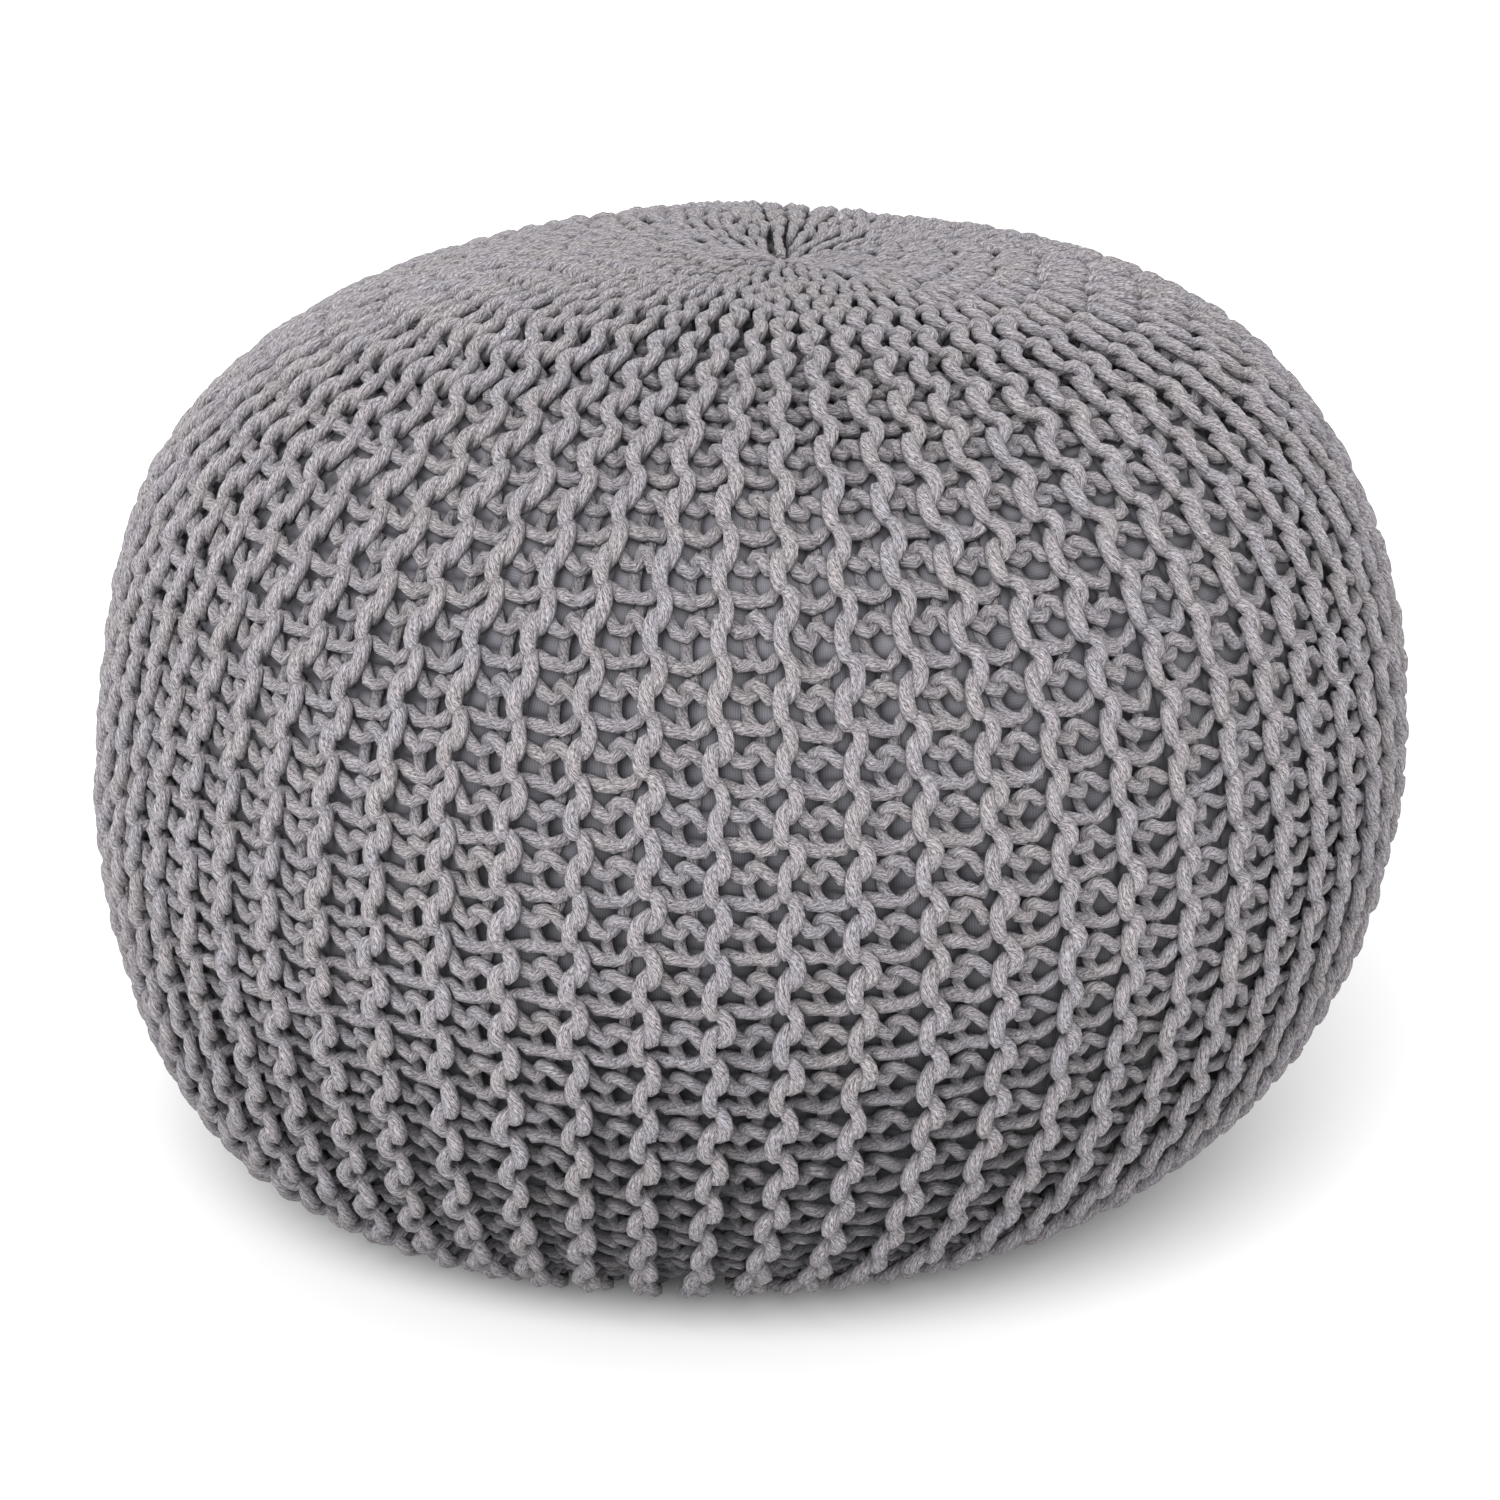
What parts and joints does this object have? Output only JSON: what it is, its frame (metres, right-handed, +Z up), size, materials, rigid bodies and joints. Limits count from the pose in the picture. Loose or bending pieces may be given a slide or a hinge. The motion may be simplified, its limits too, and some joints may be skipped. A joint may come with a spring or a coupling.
{
  "type": "knitted floor pouf",
  "caption": "Round knitted floor pouf: chunky openwork garter-stitch cover gathered at the poles over a filled fabric cushion, sagging to a flat base.",
  "frame": {"origin": "on the floor, under the middle of the pouf's bounding box", "axes": "+Z up, from the flat underside to the gathered top; the front faces -Y and +X is to the front view's right"},
  "size_m": [0.4978, 0.5022, 0.3534],
  "materials": {
    "cover_yarn": "matte",
    "cushion_fabric": "matte"
  },
  "bodies": {
    "root": {"knit_cover": "cover_yarn", "inner_cushion": "cushion_fabric"}
  },
  "joints": []
}
